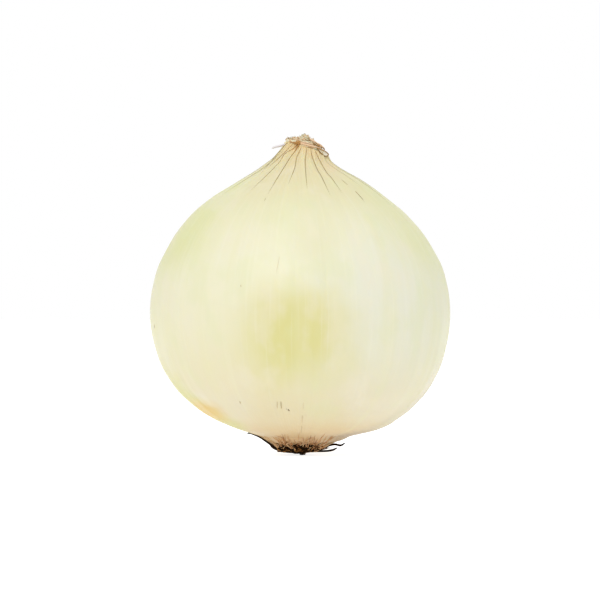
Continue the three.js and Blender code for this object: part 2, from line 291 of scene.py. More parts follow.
def moved(tree, mesh, *parts):
    """A mesh with every corner at the place that three numbers give."""
    place = put(tree, "ShaderNodeCombineXYZ", *parts)
    step = put(tree, "GeometryNodeSetPosition", mesh)
    feed(tree, place.outputs[0], step.inputs["Position"])
    return step.outputs[0]


def wrap(tree, grid, x, y, z):
    """The grid moved to its place in metres, with its seam and poles closed."""
    placed = moved(tree, grid, x * MM, y * MM, z * MM)
    closed = put(tree, "GeometryNodeMergeByDistance", placed)
    feed(tree, JOIN_DISTANCE * MM, closed.inputs["Distance"])
    return closed.outputs[0]


def bulb_tree():
    tree, values, names, floats = form_tree(
        "bulb form", "Depth share", "Ridge at neck", "Ridge on bulb", "Furrow depth", "Cut height"
    )
    depth, at_neck, on_bulb, furrow, cut = floats
    grid, azimuth, sine, cosine, up = skin_grid(tree, values)
    radius, height, shift = turned(BULB_OUTLINE, up)

    # The ridges stand over the veins and fade out towards the root plate.
    veins = sorted(angle % 360 for angle in vein_azimuths())
    ends = veins + [veins[0] + 360]
    rises = [(angle / 360, 1) for angle in veins]
    for left, right in zip(ends, ends[1:]):
        for share in (0.3, 0.7):
            rises.append(((left + (right - left) * share) % 360 / 360, 0))
    rises.sort()
    rises = [(0, 0.3)] + rises + [(1, 0.3)]
    ridge = (azimuth / (2 * math.pi)).along(rises, 0, 1)
    rise = on_bulb + (at_neck - on_bulb) * height.smooth(66, 79)
    fade = height.smooth(5, 14)

    # Fine furrows and broad waves run up the scale between them.
    furrows = streaks(tree, 34, 0.02, (sine, cosine), height) - 0.5
    waves = streaks(tree, 7, 0.012, (sine, cosine), height, 1.0) - 0.5
    furrows = (furrows * furrow + waves * WAVE_DEPTH) * fade

    roundness = (cosine * cosine) * (depth - 1) + 1 + (azimuth * 3).work("COSINE") * LOBE
    reach = radius * roundness + ridge * rise * fade + furrows * radius.smooth(2, 6)
    reach = reach.work("MAXIMUM", 0) * radius.smooth(0, 0.2)
    x = reach * sine + shift
    y = reach * cosine * -1
    slant = math.tan(NECK_SLANT)
    z = height.work("MINIMUM", cut - (x - NECK_CENTRE) * slant)
    end_tree(tree, wrap(tree, grid, x, y, z), values)
    return tree, names


def blend(tree, share, first, second):
    """The first colour turned into the second by a share."""
    mix = put(tree, "ShaderNodeMix", data_type="RGBA")
    feed(tree, share, mix.inputs[0])
    feed(tree, first, mix.inputs[6])
    feed(tree, second, mix.inputs[7])
    return mix.outputs[2]


DARKNESS = 0.7  # a surface's own brightness, as a share of what it looks like in this light


def deep(colour):
    """The linear colour of a surface that should look like this, from 0 to 255."""
    parts = [value / 255 for value in colour]
    lit = [v / 12.92 if v <= 0.04045 else ((v + 0.055) / 1.055) ** 2.4 for v in parts]
    return (*(v * DARKNESS for v in lit), 1)


def ramp(tree, share, stops):
    """A colour by place, from stops: a place and the colour that it should look like."""
    made = put(tree, "ShaderNodeValToRGB", share)
    made.color_ramp.interpolation = "B_SPLINE"
    elements = made.color_ramp.elements
    colours = [(place, deep(colour)) for place, colour in stops]
    elements[0].position, elements[0].color = colours[0]
    elements[1].position, elements[1].color = colours[-1]
    for place, colour in colours[1:-1]:
        elements.new(place).color = colour
    return made.outputs[0]


def new_material(name):
    """A new material, its node tree and its shader."""
    material = bpy.data.materials.new(name)
    material.use_nodes = True
    return material, material.node_tree, material.node_tree.nodes["Principled BSDF"]


def object_place(tree):
    """The three numbers of a place on the object, in millimetres."""
    spot = put(tree, "ShaderNodeTexCoord").outputs["Object"]
    return [part / MM for part in numbers(tree, spot)]


def fine_relief(tree, shader, height, distance, strength):
    """Relief that only the light shows, from a height between 0 and 1."""
    bump = put(tree, "ShaderNodeBump")
    feed_named(tree, bump, {"Strength": strength, "Distance": distance * MM, "Height": height})
    feed(tree, bump.outputs[0], shader.inputs["Normal"])


def away_from(place, centre, reach):
    """How far a place is from a patch's centre, as a share of the patch's reach each way."""
    total = 0
    for part, middle, span in zip(place, centre, reach):
        share = (part - middle) / span
        total = share * share + total
    return total.work("SQRT")


RAMP_TOP = 90  # the height where the ramp of colours ends
# Colours by height in millimetres, measured in patches of the photo and then adjusted.
FLESH_COLOURS = [
    (0.5, (196, 150, 96)),
    (2.5, (200, 156, 104)),
    (4.5, (218, 180, 126)),
    (6.5, (226, 197, 142)),
    (9.5, (232, 217, 176)),
    (14.0, (233, 221, 182)),
    (22.0, (235, 227, 190)),
    (32.0, (238, 232, 198)),
    (45.0, (241, 238, 208)),
    (57.0, (240, 237, 204)),
    (65.0, (234, 231, 192)),
    (71.0, (231, 222, 176)),
    (76.0, (231, 218, 172)),
    (79.0, (231, 212, 164)),
    (82.0, (231, 200, 146)),
]
# Colours that lie over them in places, measured and adjusted in the same way.
FLESH_TINTS = {
    # a cooler ivory, partly a painted cool highlight
    "cool ivory highlight": (234, 234, 215),
    "shoulder green": (226, 227, 166),
    "heart": (224, 218, 149),
    "pale streak": (240, 236, 208),
    # painted shade under the neck
    "painted shade strip": (228, 224, 184),
    # yellower sides, partly painted edge shade
    "yellow side edge shade": (226, 225, 172),
    "pale foot": (236, 229, 206),
    "pale end": (232, 212, 168),
    # painted shade low on the right
    "painted shade foot": (202, 191, 156),
    # a painted shadow line along the lower right edge
    "painted shadow edge": (150, 112, 52),
    "olive foot": (216, 213, 130),
    "stain": (232, 197, 102),
    "dried orange": (240, 190, 124),
    "peach spot": (238, 204, 160),
    "green cloud": (226, 230, 180),
    "cream cloud": (242, 234, 212),
    "yellow streaks": (236, 232, 186),
    "pale streaks": (247, 244, 222),
}


def flesh_colour(tree):
    """The flesh's colour by place, and the streaks that its gloss and relief share."""
    x, y, z = object_place(tree)
    radius = (x * x + y * y).work("SQRT")
    turn = x / radius, y / radius * -1
    fine = streaks(tree, 42, 0.03, turn, z, 4.0)
    broad = streaks(tree, 9, 0.02, turn, z, 2.0)
    patchy = cloud(tree, (x / 16, y / 16, z / 16))
    tint = cloud(tree, (x / 10, y / 10, z / 15), 3.0)
    sideways = turn[0].work("ABSOLUTE")
    front = y.fall(-18, 26)
    shares = {}

    # The right half is a cooler ivory in front, partly its own colour and partly a painted cool
    # highlight.
    cool = (x + (patchy - 0.5) * 24).smooth(-8, 22) * z.smooth(6, 36) * z.fall(48, 70)
    shares["cool ivory highlight"] = cool * front * 0.8

    # Green comes through at the shoulders, more of it on the left.
    green = z.smooth(44, 57) * z.fall(71, 78) * sideways.smooth(0.55, 0.98)
    shares["shoulder green"] = green * (patchy * 0.5 + x.fall(-17, -4) * 0.4 + 0.45)

    # The growing heart shows through as a yellow-green patch, with a sharper left side.
    away = away_from((x, z, y), (-1, 32, -38), (24, 20, 22)) + (patchy - 0.5) * 0.5
    shares["heart"] = away.fall(0.15, 1.0) * (x.smooth(-18, -5) * 0.4 + 0.6)

    # A paler streak runs up through the patch.
    pale = (x - 0.4).work("ABSOLUTE").fall(0.4, 3.2) * z.smooth(12, 20) * z.fall(36, 44)
    shares["pale streak"] = pale * front * 0.12

    # A strip under the neck is darkened with painted shade, between the two paler halves.
    away = away_from((x, z), (4, 59), (10, 15))
    shares["painted shade strip"] = away.fall(0.1, 1) * front * 0.6

    # The sides are yellower, and darkened towards the edges with painted shade.
    side = sideways.smooth(0.7, 1.1) * z.smooth(8, 34) * (patchy * 0.8 + 0.3)
    shares["yellow side edge shade"] = side * 0.75

    # Low on both sides it is paler, and on the left of the narrow end too.
    pale = x.work("ABSOLUTE").smooth(9, 16) * z.smooth(5, 12) * z.fall(13, 24)
    shares["pale foot"] = pale * 0.45
    shares["pale end"] = x.fall(-10, -5) * z.smooth(1.5, 3.5) * z.fall(5.5, 8) * 0.6

    # Low on the right it is darkened towards the side with painted shade, and a painted brown
    # shadow line lies where the narrow end begins.
    low = x.smooth(4, 14) * z.fall(4, 34) * y.smooth(-17, -9)
    shares["painted shade foot"] = low * 0.6
    shares["painted shadow edge"] = low * z.fall(5, 8) * 0.7

    # Low on the left it is olive towards the side, with a stain where the skin was thin.
    olive = x.fall(-17, -12) * z.fall(15, 28)
    olive = olive * (y + patchy * 8).smooth(-14, -8) * y.fall(2, 22)
    shares["olive foot"] = olive * 0.85
    away = away_from((x, z, y), (-24.5, 12.1, -10), (8, 4.4, 15)) + (patchy - 0.5) * 0.6
    shares["stain"] = away.fall(0.25, 1.2) * 0.95

    # The scale has dried orange below the knot in the rim.
    away = away_from((x, z), (-0.8, 82.8), (3.4, 4.2)) + (fine - 0.5) * 0.5
    shares["dried orange"] = away.fall(0.1, 1.0) * y.fall(-2, 0) * 0.7

    # A peach spot lies on the neck's right.
    away = away_from((x, z), (8.6, 77), (3.5, 3)) + (fine - 0.5) * 0.5
    shares["peach spot"] = away.fall(0.1, 1.0) * front * 0.4

    # Faint clouds of green and of cream, and streaks up the scale, yellower and paler.
    faint = z.smooth(7, 14) * 0.3
    shares["green cloud"] = tint.smooth(0.5, 0.68) * faint
    shares["cream cloud"] = tint.fall(0.32, 0.48) * faint
    shares["yellow streaks"] = broad.smooth(0.52, 0.75) * 0.3
    shares["pale streaks"] = fine.smooth(0.5, 0.72) * (z.smooth(6, 40) * 0.12 + 0.04)

    stops = [(height / RAMP_TOP, colour) for height, colour in FLESH_COLOURS]
    colour = ramp(tree, z / RAMP_TOP, stops)
    for name, share in shares.items():
        colour = blend(tree, share, colour, deep(FLESH_TINTS[name]))
    return colour, fine, broad


def flesh_material():
    """Moist flesh that glows a little, with fine relief and gloss that vary up its streaks."""
    material, tree, shader = new_material("onion flesh")
    colour, fine, broad = flesh_colour(tree)
    inputs = {
        "Base Color": colour,
        "Roughness": broad * 0.12 + fine * 0.1 + 0.29,
        "Specular IOR Level": 0.35,
        "Subsurface Weight": 0.3,
        "Subsurface Radius": (1.0, 0.75, 0.35),
        "Subsurface Scale": 3 * MM,
    }
    feed_named(tree, shader, inputs)
    fine_relief(tree, shader, fine, 0.08, 0.5)
    return material


flesh = flesh_material()
bulb_values = {
    "Columns": 441,
    "Rings": 210,
    "Depth share": FLATTENED_DEPTH,
    "Ridge at neck": RIDGE_AT_NECK,
    "Ridge on bulb": RIDGE_ON_BULB,
    "Furrow depth": FURROW_DEPTH,
    "Cut height": FLESH_TOP,
    "Material": flesh,
}
bulb = grown("bulb_flesh", bulb_tree(), bulb_values)
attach(bulb, "root")
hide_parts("bulb")

# Veins
# Dried veins run down from the neck in the outermost scale and fade out over the shoulders. A
# few rubbed scars are in the flesh too. All are strands that lie half sunk in its surface.
VEIN_RADIUS = 0.085
BACK_VEIN_TOP = 81
BACK_VEIN_ENDS = (65.5, 74)
QUARTERS = (0, 0.25, 0.5, 0.75, 1)
OUTSIDE = 60  # how far from the axis a ray starts that looks for a surface
# Where the veins in front run, as x and height.
FRONT_VEIN_PATHS = [
    [(-3.3, 83.2), (-6.3, 79.9), (-10.4, 74.6)],
    [(-2.0, 82.6), (-5.2, 79.4), (-8.7, 76.1)],
    [(-1.1, 81.9), (-4.2, 79.9), (-5.2, 78.1), (-8.8, 74.1), (-13.0, 69.8)],
    [(-0.3, 82.2), (-2.6, 79.0), (-3.7, 77.1), (-4.9, 75.1), (-8.4, 68.9)],
    [(0.4, 81.8), (-0.9, 78.9), (-1.4, 76.1), (-3.1, 71.4)],
    [(1.8, 81.8), (1.4, 77.9), (1.5, 74.8), (1.9, 70.2)],
    [(2.7, 81.5), (3.4, 78.7), (4.7, 75.4), (5.6, 73.8), (7.9, 68.5)],
    [(3.9, 81.2), (5.4, 77.9), (7.2, 74.6), (8.4, 73.2), (11.0, 69.2)],
    [(-8.9, 67.9), (-9.3, 66.9)],
    [(10.9, 73.0), (12.7, 71.3)],
    [(14.4, 69.9), (15.6, 68.6), (16.9, 66.9)],
]
# Rubbed scars, as x and height from end to end, and how wide and how dark they are.
SCARS = [
    ([(-5.9, 15.2), (-5.85, 13.2)], 0.09, 0.4),
    ([(-4.95, 15.2), (-4.8, 13.1)], 0.13, 0.65),
    ([(-3.6, 13.3), (-3.3, 12.9)], 0.2, 0.9),
    ([(-3.1, 13.1), (-2.75, 12.6)], 0.24, 1.0),
    ([(-15.6, 15.2), (-15.4, 14.3)], 0.13, 0.5),
    ([(-15.2, 45.2), (-15.1, 44.6)], 0.1, 0.6),
    ([(-5.2, 52.4), (-6.2, 47.8)], 0.07, 0.05),
    ([(1.0, 15.0), (0.8, 13.0)], 0.06, 0.2),
    ([(0.6, 11.6), (0.5, 9.2)], 0.07, 0.3),
    ([(0.45, 8.6), (0.3, 6.2)], 0.08, 0.35),
]
BACK_SCARS = 7


def skin_tree(*objects):
    """The surfaces of some finished objects, in millimetres, to lay strands on."""
    corners, faces = [], []
    for thing in objects:
        start = len(corners)
        corners += [tuple(corner.co / MM) for corner in thing.data.vertices]
        faces += [tuple(start + k for k in face.vertices) for face in thing.data.polygons]
    return BVHTree.FromPolygons(corners, faces)


def from_front(skin, x, z):
    """The point of the surface that is seen from the front at a place."""
    return skin.ray_cast(Vector((x, -OUTSIDE, z)), Vector((0, 1, 0)))[0]


def from_azimuth(skin, degrees, z, centre=0.0):
    """The point of the surface at an azimuth and a height."""
    turn = math.radians(degrees)
    out = Vector((math.sin(turn), -math.cos(turn), 0))
    return skin.ray_cast(Vector((centre, 0, z)) + out * OUTSIDE, -out)[0]


def sampled(points, step):
    """A smooth path through the points, sampled about every step."""
    ends = [points[0] * 2 - points[1]] + list(points) + [points[-1] * 2 - points[-2]]
    path = []
    for before, start, end, after in zip(ends, ends[1:], ends[2:], ends[3:]):
        count = max(1, round((end - start).length / step))
        for k in range(count):
            t = k / count
            bend = (end - before) * t + (before * 2 - start * 5 + end * 4 - after) * t ** 2
            path.append(start + (bend + (start * 3 - before - end * 3 + after) * t ** 3) / 2)
    return path + [points[-1]]


def along_front(skin, path, step):
    """A smooth path over the surface through places in front, given as x and height."""
    way = sampled([Vector((x, 0, z)) for x, z in path], step)
    hits = [from_front(skin, point.x, point.z) for point in way]
    return [hit for hit in hits if hit]


def strand(path, radius, shades, ends=(0.35, 0.1)):
    """A strand along a path: its points, their thickness and how dark it is along it."""
    last = len(path) - 1
    thick = []
    for k in range(last + 1):
        share = k / last
        full = min(1, share * 6 + ends[0], (1 - share) * 3 + ends[1])
        thick.append(radius * full)
    dark = [shades[0] + (shades[1] - shades[0]) * k / last for k in range(last + 1)]
    return path, thick, dark


def thread_tree():
    tree, values, names = shape_tree("thread", {"Sides": "Int", "Material": "Material"})
    thickness = put(tree, "GeometryNodeInputNamedAttribute", "thickness", data_type="FLOAT")
    curve = put(tree, "GeometryNodeMeshToCurve", values["Geometry"])
    section = put(tree, "GeometryNodeCurvePrimitiveCircle", values["Sides"])
    feed(tree, 1.0, section.inputs["Radius"])
    tube = put(tree, "GeometryNodeCurveToMesh", curve.outputs[0], section.outputs[0])
    feed(tree, thickness.outputs[0], tube.inputs["Scale"])
    feed(tree, True, tube.inputs["Fill Caps"])
    end_tree(tree, tube.outputs[0], values)
    return tree, names


thread_form = thread_tree()


def threads(name, strands, sides, material):
    """A plain mesh of round strands."""
    corners, edges, thick, dark = [], [], [], []
    for path, widths, shades in strands:
        start = len(corners)
        corners += [tuple(point * MM) for point in path]
        edges += [(start + k, start + k + 1) for k in range(len(path) - 1)]
        thick += [width * MM for width in widths]
        dark += shades
    mesh = bpy.data.meshes.new(name)
    mesh.from_pydata(corners, edges, [])
    mesh.attributes.new("thickness", "FLOAT", "POINT").data.foreach_set("value", thick)
    mesh.attributes.new("shade", "FLOAT", "POINT").data.foreach_set("value", dark)
    values = {"Sides": sides, "Material": material}
    return grown(name, thread_form, values, start=mesh)


def thread_material(name, stops, roughness=0.55, gloss=0.5):
    """A material whose colour follows how dark a strand is there."""
    material, tree, shader = new_material(name)
    shade = put(tree, "ShaderNodeAttribute", attribute_name="shade").outputs["Fac"]
    inputs = {"Base Color": ramp(tree, shade, stops), "Roughness": roughness}
    feed_named(tree, shader, inputs | {"Specular IOR Level": gloss})
    return material


skin = skin_tree(bulb)
draw = random.Random(5)
strands = []
for path in FRONT_VEIN_PATHS:
    short = len(path) < 3
    shades = (0.6, 0.5) if short else (1.0, 0.5)
    # Those on the left are finer, like the short ones.
    fine = short or path[0][0] < -1
    points = along_front(skin, path, 0.5)
    strands.append(strand(points, VEIN_RADIUS * (0.8 if fine else 1), shades))
for angle in vein_azimuths()[len(FRONT_VEINS):]:
    fall = draw.uniform(*BACK_VEIN_ENDS) - BACK_VEIN_TOP
    # Its path is smoothed as azimuths and heights.
    way = []
    for share in QUARTERS:
        way.append(Vector((angle + draw.uniform(-0.8, 0.8), 0, BACK_VEIN_TOP + fall * share)))
    points = [from_azimuth(skin, point.x, point.z, NECK_CENTRE) for point in sampled(way, 0.5)]
    strands.append(strand(points, VEIN_RADIUS * 0.75, (0.8, 0.2)))
vein_brown = thread_material(
    "dried vein",
    [(0, (226, 216, 172)), (0.4, (158, 146, 84)), (0.75, (146, 126, 60)), (1, (172, 122, 52))],
)
veins = threads("veins", strands, 5, vein_brown)
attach(veins, "root")

strands = []
for path, radius, shade in SCARS:
    points = along_front(skin, path, 0.4)
    strands.append(strand(points, radius, (shade, shade * 0.7), (0.2, 0.2)))
for _ in range(BACK_SCARS):
    angle, z, long = draw.uniform(70, 290), draw.uniform(12, 60), draw.uniform(0.4, 2)
    points = [from_azimuth(skin, angle, z), from_azimuth(skin, angle, z + long)]
    strands.append(strand(sampled(points, 0.4), 0.1, (0.6, 0.4), (0.2, 0.2)))
scar_brown = thread_material(
    "scar",
    [(0, (240, 232, 196)), (0.3, (220, 192, 142)), (0.6, (178, 158, 106)), (1, (104, 88, 52))],
)
scars = threads("scars", strands, 5, scar_brown)
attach(scars, "root")

# Dried neck
# What the leaves left when they were cut: a crumpled stub of dry brown paper with torn scale
# edges, held by the rolled rim of the outer scale. It grows out of the neck of the bulb.
STUB_RADIUS = 5.1
STUB_HEIGHT = 2.3
# Share of the stub's radius, height over the cut and the centre's place towards +X.
STUB_LAYERS = [
    (0.0, -3.2, 0.2),
    (0.8, -3.2, 0.3),
    (0.93, -0.8, 0.5),
    (0.98, 0.4, 0.8),
    (0.93, 0.7, 0.9),
    (0.78, 1.1, 0.9),
    (0.5, 1.7, 0.6),
    (0.2, 2.2, 0.3),
    (0.0, STUB_HEIGHT, 0.2),
]
SHEET_LABELS = ("Radius", "Height", "Lean", "Centre", "Ragged", "Thickness", "Seed")
# Radius, height over the cut, lean outwards, centre and how ragged each torn edge is.
TORN_EDGES = [
    (4.9, 0.8, 0.4, 0.8, 0.7),
    (4.1, 1.3, 0.3, 0.9, 0.7),
    (3.1, 1.9, 0.3, 0.9, 0.6),
    (2.0, 2.5, 0.3, 0.7, 0.6),
    (1.0, 3.0, 0.2, 0.5, 0.5),
]
SHEET_THICKNESS = 0.16
SHEET_FOOT = 1.2  # how far below the cut each sheet begins
SCRAPS_PER_SQUARE_METRE = 0.7e6
RIM_RADIUS = 5.7
RIM_LEAN = 1.2  # how far it leans in for each millimetre over the cut
# Where the rim runs in front, as x and height.
RIM = [(-0.9, 83.0), (0.1, 82.9), (2.0, 82.4), (3.6, 82.0), (5.0, 81.6), (5.9, 81.3)]
# Each fold's way over the rim as x and height, how thick it is, and how dark at either end.
FOLDS = [
    ([(-0.4, 83.4), (-1.2, 83.6), (-2.3, 84.0)], 0.22, 0.8, 0.7),
    ([(-0.5, 82.9), (-1.4, 83.0), (-2.6, 83.3)], 0.2, 0.85, 0.8),
    ([(-0.5, 83.1), (-1.5, 83.3), (-2.8, 83.7)], 0.18, 0.55, 0.3),
    ([(-0.7, 83.6), (-1.5, 84.2), (-2.0, 84.6)], 0.2, 0.3, 0.15),
    ([(-1.0, 84.2), (-1.7, 84.6), (-2.2, 84.7)], 0.12, 0.8, 0.9),
    ([(-0.7, 82.8), (-1.3, 82.0), (-2.3, 81.0)], 0.14, 0.8, 0.5),
    ([(-0.3, 82.6), (-0.6, 82.0), (-1.3, 80.8)], 0.15, 0.85, 0.6),
    ([(0.6, 83.2), (2.0, 82.9), (3.2, 82.6)], 0.16, 0.15, 0.1),
    ([(3.4, 82.8), (3.9, 82.6), (4.3, 82.6)], 0.17, 0.9, 0.85),
    ([(4.4, 82.4), (4.9, 82.3), (5.2, 82.1)], 0.18, 0.8, 0.7),
    ([(5.3, 82.3), (6.0, 82.0), (6.6, 81.4)], 0.14, 0.5, 1.0),
    ([(4.0, 83.0), (4.6, 82.9), (5.0, 82.7)], 0.12, 1.0, 1.0),
    ([(1.4, 83.9), (1.8, 83.7), (2.3, 83.6)], 0.14, 1.0, 1.0),
    ([(-3.0, 84.1), (-3.5, 84.3), (-3.9, 83.9)], 0.18, 1.0, 0.8),
    ([(2.6, 84.1), (3.5, 83.6), (4.4, 83.1)], 0.26, 0.15, 0.0),
    ([(4.2, 83.1), (5.2, 82.65), (6.0, 82.15)], 0.24, 0.0, 0.2),
    ([(5.8, 82.2), (6.3, 81.8), (6.6, 81.3)], 0.2, 0.2, 0.7),
]
# The knot in the rim, as x and height.
KNOT = (-0.7, 83.0)
KNOT_STRANDS = 9
KNOT_SPREAD = 0.7
# The curled scale's edge and the loose whisker, as x, y and height.
CURL = [
    (4.5, -4.9, 81.7),
    (5.7, -4.2, 81.2),
    (6.9, -3.2, 80.7),
    (7.6, -2.6, 79.95),
    (6.9, -3.4, 79.5),
    (6.0, -4.1, 79.9),
    (5.2, -4.6, 80.7),
]
WHISKER = [(-3.8, -2.0, 82.8), (-5.3, -2.4, 82.3), (-6.7, -2.7, 82.0), (-7.5, -2.9, 81.6)]
# The curled scale is a shallow bowl. Its rings are shares of the way from middle to edge.
PETAL_RINGS = (0.35, 0.7, 1.0)
PETAL_HOLLOW = 0.25


def on_rim(skin, x, z):
    """A place in front on the rolled rim, which leans in above the cut."""
    radius = RIM_RADIUS - max(0, z - FLESH_TOP) * RIM_LEAN
    near = -math.sqrt(max(0, radius ** 2 - (x - NECK_CENTRE) ** 2))
    hit = from_front(skin, x, z)
    return Vector((x, min(near, hit.y) if hit else near, z))


def jitter(draw, reach):
    """A small random step, up to reach each way."""
    return Vector([draw.uniform(-reach, reach) for _ in range(3)])


def on_neck(tree, u, y, w):
    """The numbers of a place on the slanted neck, as world numbers."""
    flat, tilt = math.cos(NECK_SLANT), math.sin(NECK_SLANT)
    x = u * flat + w * tilt + NECK_CENTRE
    return x, y, w * flat - u * tilt + FLESH_TOP


def stub_tree():
    tree, values, names, (crumple,) = form_tree("crumpled stub", "Crumple")
    grid, _, sine, cosine, up = skin_grid(tree, values)
    radius, w, centre = turned([(r * STUB_RADIUS, z, c) for r, z, c in STUB_LAYERS], up)
    folds = streaks(tree, 5, 0.7, (sine, cosine), w) - 0.5
    lumps = streaks(tree, 0.8, 0.8, (sine * radius, cosine * radius), w) - 0.5
    reach = (radius + folds * crumple * radius.smooth(0.5, 4)).work("MAXIMUM", 0)
    reach = reach * radius.smooth(0, 0.2)
    w = w + lumps * crumple * w.smooth(-0.5, 1)
    place = on_neck(tree, reach * sine + centre, reach * cosine * -1, w)
    end_tree(tree, wrap(tree, grid, *place), values)
    return tree, names


def there_and_back(around):
    """For a sheet's two faces: how far out a place is, from 0 to 1, and its side, 1 then -1."""
    out = (around - 0.5).work("ABSOLUTE") * -2 + 1
    side = ((around - 0.5) * -12).work("MAXIMUM", -1).work("MINIMUM", 1)
    return out, side


def sheet_tree():
    tree, values, names, floats = form_tree("torn sheet", *SHEET_LABELS)
    radius, height, lean, centre, ragged, thickness, seed = floats
    grid, _, sine, cosine, around = skin_grid(tree, values)
    up, side = there_and_back(around)
    flat = sine * radius, cosine * radius
    tears = streaks(tree, 1.1, 1, flat, seed, 5.0) - 0.5
    bends = streaks(tree, 0.7, 1, flat, up * 1.2 + seed * 3, 2.0) - 0.5
    top = height * (tears * ragged * 2.2 + 1)
    reach = radius + lean * up * up + bends * up * 1.6 + side * thickness * 0.5
    w = (top + SHEET_FOOT) * up - SHEET_FOOT
    place = on_neck(tree, reach * sine + centre, reach * cosine * -1, w)
    end_tree(tree, wrap(tree, grid, *place), values)
    return tree, names


def scrap_tree():
    """Small curled scraps of dry skin that stand on the stub."""
    inputs = {"Density": "Float", "Size": "Float", "Seed": "Int", "Material": "Material"}
    tree, values, names = shape_tree("scraps", inputs)
    bent = put(tree, "GeometryNodeMeshGrid", 1.0, 0.7, 5, 3)
    x, y, _ = numbers(tree, tree.nodes.new("GeometryNodeInputPosition").outputs[0])
    narrow = (x * x) * -2.4 + 1
    curled = (x * x) * 1.3 + (y * y) * 0.8
    scrap = moved(tree, bent.outputs["Mesh"], x, y * narrow, curled)
    normal = tree.nodes.new("GeometryNodeInputNormal")
    _, _, rise = numbers(tree, normal.outputs[0])
    points = put(tree, "GeometryNodeDistributePointsOnFaces", values["Geometry"])
    upward = rise.work("GREATER_THAN", 0.1)
    spread = {"Selection": upward, "Density": values["Density"], "Seed": values["Seed"]}
    feed_named(tree, points, spread)
    spin = put(tree, "FunctionNodeRandomValue", data_type="FLOAT_VECTOR")
    feed_named(tree, spin, {"Min": (-0.9, -0.9, 0.0), "Max": (0.9, 0.9, 6.28)})
    upright = points.outputs["Rotation"]
    turn = put(tree, "FunctionNodeRotateRotation", upright, rotation_space="LOCAL")
    feed(tree, spin.outputs["Value"], turn.inputs["Rotate By"])
    grow = put(tree, "FunctionNodeRandomValue", data_type="FLOAT")
    feed(tree, 0.5, grow.inputs[2])
    feed(tree, 1.2, grow.inputs[3])
    size = Number(tree, grow.outputs[1]) * Number(tree, values["Size"])
    placed = put(tree, "GeometryNodeInstanceOnPoints", points.outputs["Points"])
    laid = {"Instance": scrap, "Rotation": turn.outputs[0], "Scale": size}
    feed_named(tree, placed, laid)
    end_tree(tree, placed.outputs[0], values)
    return tree, names


def paper_material(name, stops, gloss=0.5):
    """Dry papery skin, darker in patches, by noise in the object's own coordinates."""
    material, tree, shader = new_material(name)
    x, y, z = object_place(tree)
    mottle = cloud(tree, (x * 0.9, y * 0.9, z * 1.3), 4.0)
    fine = cloud(tree, (x * 4, y * 4, z * 5), 3.0)
    share = (mottle * 0.75 + fine * 0.25 - 0.3) * 2.5
    inputs = {"Base Color": ramp(tree, share, stops), "Roughness": 0.6}
    feed_named(tree, shader, inputs | {"Specular IOR Level": gloss})
    fine_relief(tree, shader, fine, 0.15, 0.6)
    return material


straw_colours = [
    (0, (130, 94, 50)),
    (0.2, (206, 160, 104)),
    (0.35, (240, 206, 160)),
    (0.5, (244, 226, 184)),
    (0.7, (238, 234, 204)),
    (0.85, (206, 212, 172)),
    (1, (250, 222, 192)),
]
straw = paper_material("dry skin", straw_colours)
stub_values = {"Columns": 161, "Rings": 90, "Crumple": 1.5, "Material": straw}
stub = grown("neck_stub", stub_tree(), stub_values)

sheet_form = sheet_tree()
sheets = []
for number, edge in enumerate(TORN_EDGES):
    sheet_values = dict(zip(SHEET_LABELS, (*edge, SHEET_THICKNESS, 3.7 * number + 1)))
    sheet_values |= {"Columns": 120, "Rings": 23, "Material": straw}
    sheets.append(grown(f"torn_edge_{number + 1}", sheet_form, sheet_values))

scrap_values = {"Density": SCRAPS_PER_SQUARE_METRE, "Size": 1 * MM, "Seed": 4, "Material": straw}
scraps = grown("neck_scraps", scrap_tree(), scrap_values, start=stub.data.copy())

neck_skin = skin_tree(bulb, stub)
fold_colours = [
    (0, (246, 212, 176)),
    (0.3, (240, 200, 158)),
    (0.6, (216, 162, 86)),
    (0.8, (178, 120, 46)),
    (1, (138, 110, 48)),
]
fold_brown = thread_material("rolled rim", fold_colours)
strands = []
rim = [on_rim(neck_skin, x, z) for x, z in RIM]
strands.append(strand(sampled(rim, 0.3), 0.25, (0.3, 0.1), (0.9, 0.5)))
for path, radius, shade, last_shade in FOLDS:
    points = [on_rim(neck_skin, x, z) for x, z in path]
    strands.append(strand(sampled(points, 0.3), radius, (shade, last_shade), (0.8, 0.4)))
draw = random.Random(8)
centre = on_rim(neck_skin, *KNOT)
for _ in range(KNOT_STRANDS):
    spread = [jitter(draw, KNOT_SPREAD) for _ in range(4)]
    knot = [centre + Vector((s.x, s.y * 0.4 - 0.2, s.z * 0.6)) for s in spread]
    strands.append(strand(sampled(knot, 0.2), 0.22, (draw.uniform(0.65, 0.95), 0.75), (0.7, 0.5)))
curl = [Vector(point) for point in (*CURL, CURL[0])]
strands.append(strand(sampled(curl, 0.3), 0.13, (0.8, 1), (1, 1)))
whisker = [Vector(point) for point in WHISKER]
pale = thread_material("bleached whisker", [(0, (244, 240, 240)), (1, (226, 218, 224))])
whisker_strand = strand(sampled(whisker, 0.3), 0.3, (1, 0), (0.4, 0.6))
whisker = threads("neck_whisker", [whisker_strand], 8, pale)
folds = threads("neck_folds", strands, 8, fold_brown)

